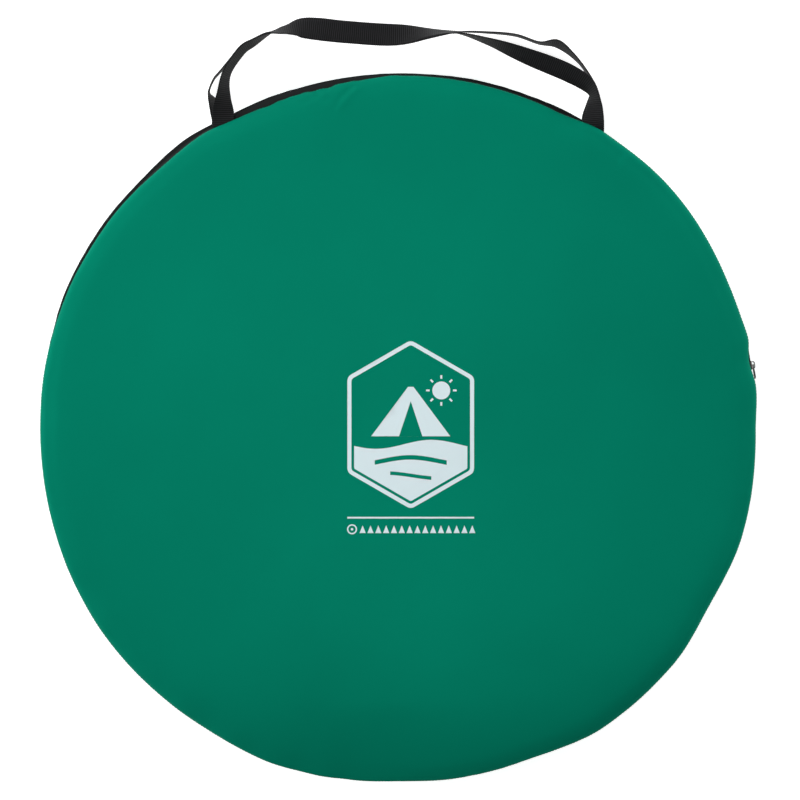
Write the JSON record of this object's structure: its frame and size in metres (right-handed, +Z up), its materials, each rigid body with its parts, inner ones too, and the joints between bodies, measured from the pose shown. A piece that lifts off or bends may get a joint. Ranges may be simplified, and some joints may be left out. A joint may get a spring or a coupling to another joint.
{
  "type": "pop up tent",
  "caption": "Pop-up tent packed in a flat round zipped carry bag, with folded sprung loops, tent cloth, peg bag and two webbing carry handles.",
  "frame": {"origin": "middle of the back panel's flat underside, on the surface the packed tent lies on", "axes": "+Z up through the round bag from its back panel to its front panel, +Y towards the carry handles, +X towards the closed end of the zip"},
  "size_m": [0.8065, 0.8581, 0.0521],
  "materials": {
    "green_polyester": "satin",
    "black_polyester": "matte",
    "black_webbing": "matte",
    "zip_coil": "satin",
    "silver_metal": "satin",
    "fibreglass": "satin",
    "black_plastic": "satin",
    "grey_cloth": "matte",
    "groundsheet_cloth": "satin",
    "black_mesh": "matte"
  },
  "bodies": {
    "bag": {"front_panel_lower": "green_polyester", "back_panel": "green_polyester", "lower_gusset": "black_polyester", "back_seam_binding": "black_polyester", "zip_tape_back": "black_polyester", "zip_tape_end_right": "black_polyester", "zip_tape_end_left": "black_polyester", "zip_coil_back": "zip_coil", "zip_coil_end_right": "zip_coil", "zip_coil_end_left": "zip_coil", "zip_stop_right": "silver_metal", "zip_stop_left": "silver_metal", "rod_loop_a": "fibreglass", "rod_loop_b": "fibreglass", "rod_ferrule_a": "silver_metal", "rod_ferrule_b": "silver_metal", "groundsheet_pack": "groundsheet_cloth", "inner_tent_pack": "grey_cloth", "door_mesh_pack": "black_mesh", "flysheet_pack": "green_polyester", "retaining_strap": "black_webbing", "buckle_socket": "black_plastic", "buckle_plug": "black_plastic", "peg_bag": "black_polyester", "peg_1": "silver_metal", "peg_2": "silver_metal", "peg_3": "silver_metal", "peg_4": "silver_metal", "peg_5": "silver_metal", "peg_6": "silver_metal", "peg_7": "silver_metal", "peg_8": "silver_metal"},
    "flap": {"front_panel_flap": "green_polyester", "zip_tape_front": "black_polyester", "zip_coil_front": "zip_coil"},
    "slider": {"zip_slider": "silver_metal"},
    "pull": {"zip_pull": "silver_metal"},
    "front_handle": {"front_handle": "black_webbing"},
    "back_handle": {"back_handle": "black_webbing"}
  },
  "joints": [
    {"name": "flap_fold", "type": "hinge", "parent": "bag", "child": "flap", "pos_m": [0, 0.11, 0.0502], "axis": [1, 0, 0], "range_deg": [0, 150]},
    {"name": "slider_run", "type": "hinge", "parent": "bag", "child": "slider", "pos_m": [0, 0, 0.025], "axis": [0, 0, 1], "range_deg": [0, 160]},
    {"name": "pull_swing", "type": "hinge", "parent": "slider", "child": "pull", "pos_m": [0.39717, 0.0729, 0.025], "axis": [0, 0, 1], "range_deg": [0, 170]},
    {"name": "front_handle_swing", "type": "hinge", "parent": "flap", "child": "front_handle", "pos_m": [-0.1982, 0.3495, 0.0367], "axis": [0.9999, -0.017, 0], "range_deg": [0, 115]},
    {"name": "back_handle_swing", "type": "hinge", "parent": "bag", "child": "back_handle", "pos_m": [-0.2018, 0.359, 0.014], "axis": [0.9998, -0.0202, 0], "range_deg": [0, 69]}
  ],
  "couplings": [
    {"joint": "back_handle_swing", "follows": "front_handle_swing", "ratio": 0.6}
  ]
}
